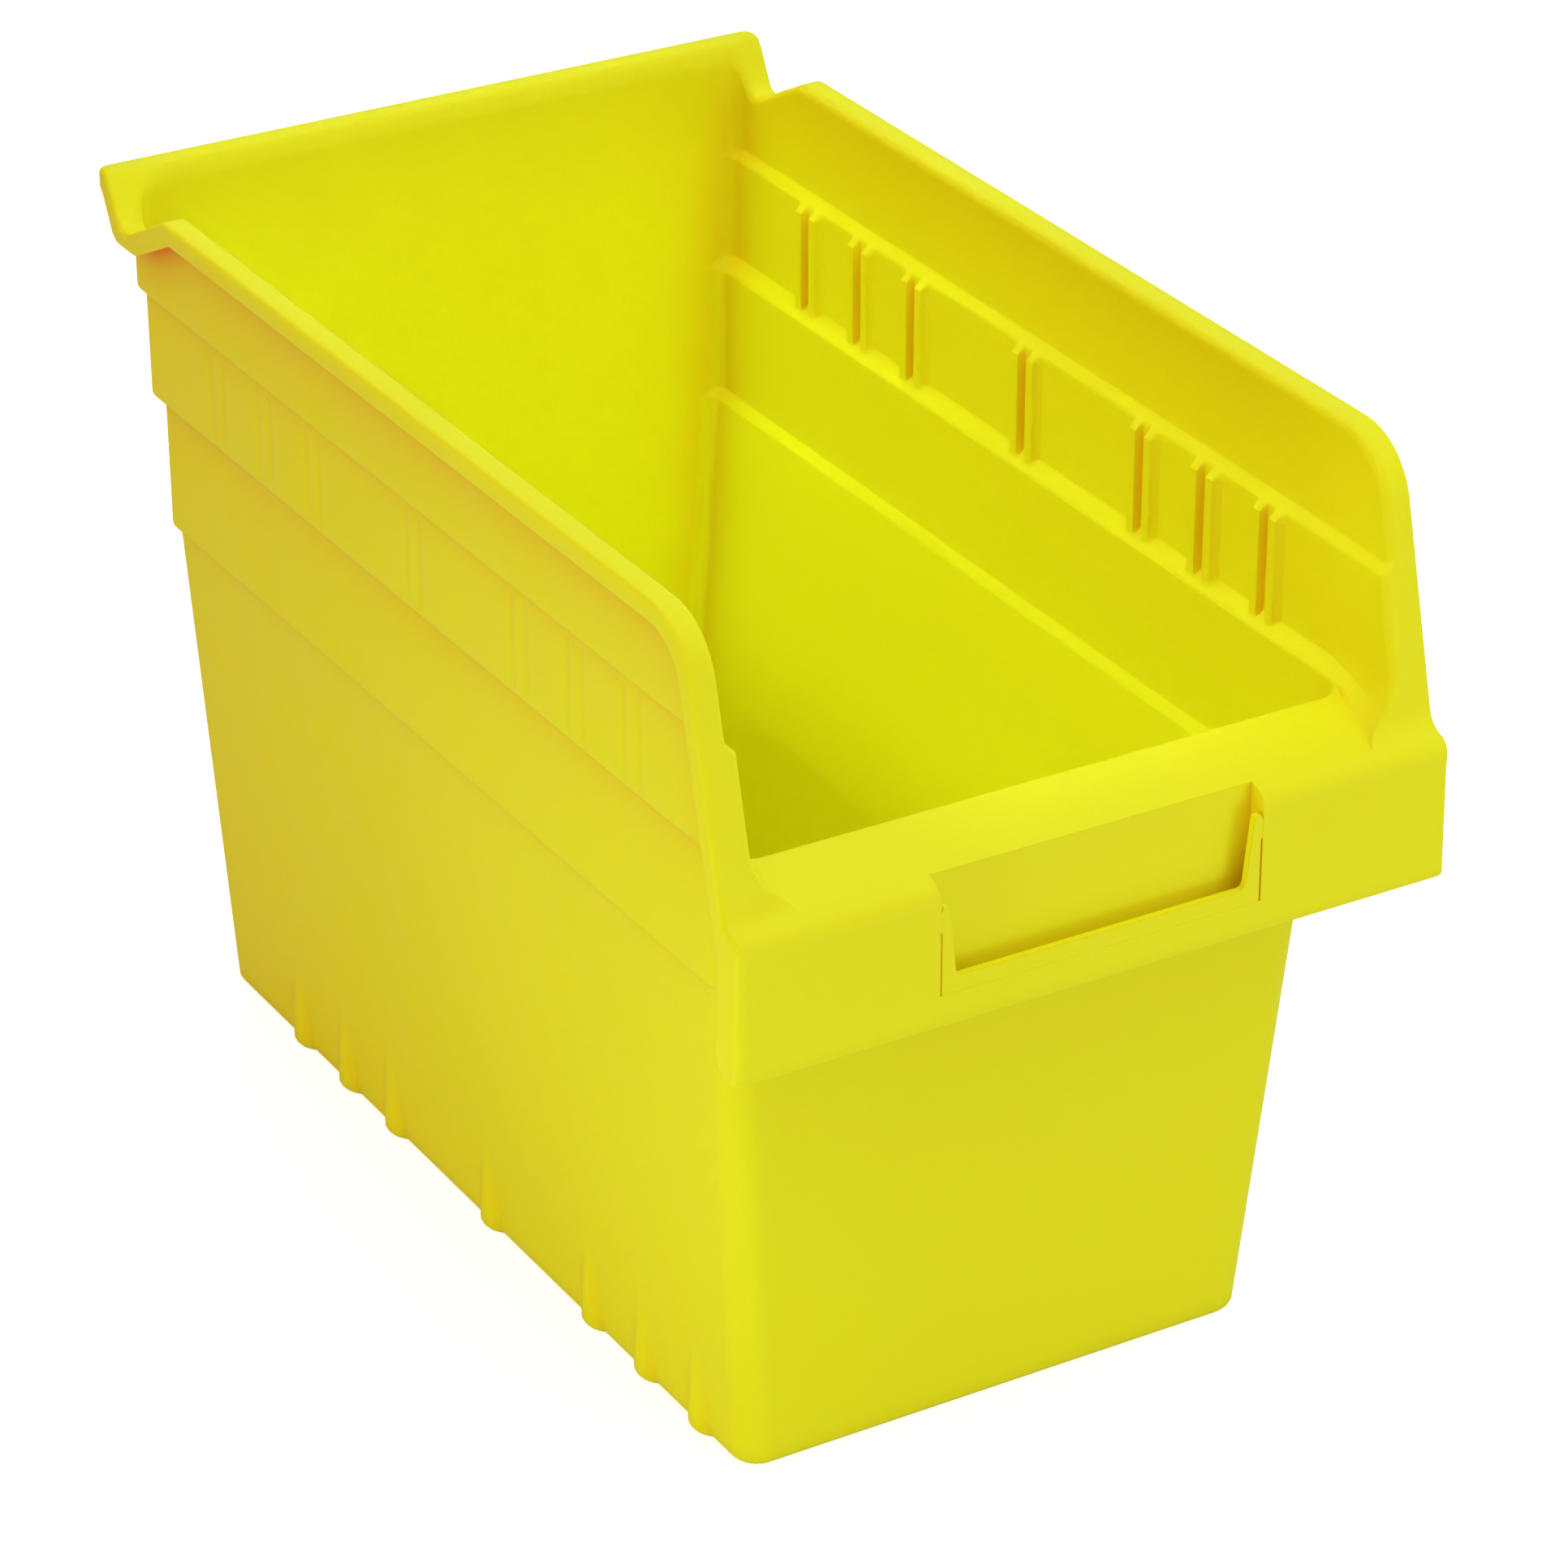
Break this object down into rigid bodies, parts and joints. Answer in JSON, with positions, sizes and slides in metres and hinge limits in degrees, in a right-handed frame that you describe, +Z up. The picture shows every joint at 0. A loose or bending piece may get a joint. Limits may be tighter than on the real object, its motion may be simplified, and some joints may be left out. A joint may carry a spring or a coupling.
{
  "type": "hanging parts bin",
  "caption": "Open-topped moulded plastic parts bin with a hopper front, label recess, divider slots and a rear rail to hang it by.",
  "frame": {"origin": "centre of the bin's box at the underside of its floor", "axes": "+X the bin's right side, +Y its back with the hang rail, +Z up"},
  "size_m": [0.163, 0.273, 0.203],
  "materials": {
    "shell": "semi-matt bright yellow moulded polypropylene with a fine spark-eroded grain"
  },
  "bodies": {
    "root": {"floor_panel": "shell", "back_wall": "shell", "front_wall": "shell", "hopper_throat": "shell", "hopper_top": "shell", "hopper_skirt": "shell", "label_pocket": "shell", "label_frame": "shell", "hang_rail": "shell", "right_side_wall": "shell", "left_side_wall": "shell", "right_rim": "shell", "left_rim": "shell", "right_hopper_cheek": "shell", "left_hopper_cheek": "shell"}
  },
  "joints": []
}
